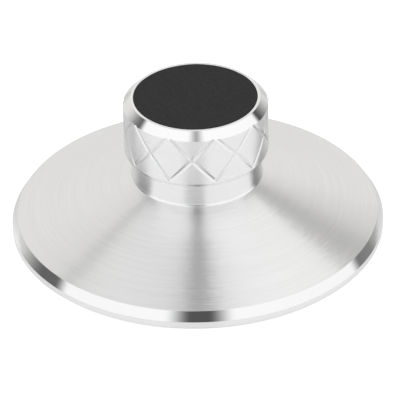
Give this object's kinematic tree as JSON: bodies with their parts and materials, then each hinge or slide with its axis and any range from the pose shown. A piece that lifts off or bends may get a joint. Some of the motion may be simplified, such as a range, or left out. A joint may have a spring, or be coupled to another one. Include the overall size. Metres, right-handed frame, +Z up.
{
  "type": "record weight",
  "caption": "Low turntable weight: a sloping turned disc with a waisted finger knob, a diamond-engraved band, a black inlay on top, a soft pad below and a blind spindle hole.",
  "frame": {"origin": "centre of the pad's underside, which stands on the record", "axes": "+Z up along the turning axis, from the base to the knob; the seen front faces -Y"},
  "size_m": [0.08, 0.08, 0.0323],
  "materials": {
    "turned_metal": "circular brushed satin, with polished bevels and grooves",
    "inlay": "matte, finely textured",
    "pad": "matte"
  },
  "bodies": {
    "root": {"weight_body": "turned_metal", "top_inlay": "inlay", "base_pad": "pad"}
  },
  "joints": []
}
